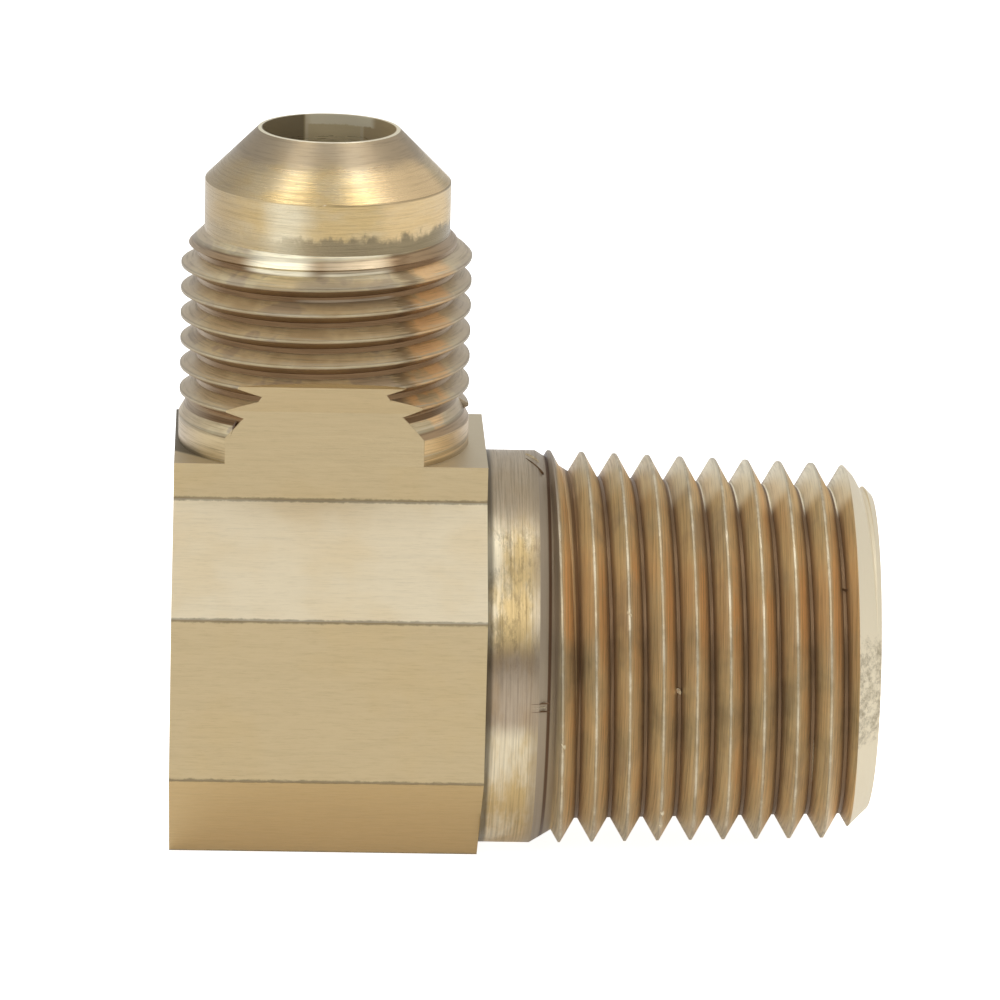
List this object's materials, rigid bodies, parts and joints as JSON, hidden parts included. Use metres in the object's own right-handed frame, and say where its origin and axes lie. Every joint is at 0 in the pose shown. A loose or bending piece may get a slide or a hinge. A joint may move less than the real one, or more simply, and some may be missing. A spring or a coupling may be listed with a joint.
{
  "type": "flare elbow fitting",
  "caption": "Brass ninety degree elbow with a male flare end pointing up and a male taper pipe thread pointing sideways, cut from extruded bar.",
  "frame": {"origin": "where the axis of the pipe end crosses the axis of the flare end, on the centre line of the pipe bore", "axes": "+X along the pipe axis, out of the pipe end; +Z along the flare axis, out of the flare end; the wrench flats face +Y and -Y"},
  "size_m": [0.0384, 0.0222, 0.04],
  "materials": {
    "bar_brass": "drawn and brushed",
    "flare_thread_brass": "cut thread",
    "nose_brass": "turned",
    "neck_brass": "turned",
    "pipe_thread_brass": "cut thread"
  },
  "bodies": {
    "root": {"elbow_block": "bar_brass", "flare_thread": "flare_thread_brass", "flare_nose": "nose_brass", "pipe_neck": "neck_brass", "pipe_thread": "pipe_thread_brass"}
  },
  "joints": []
}
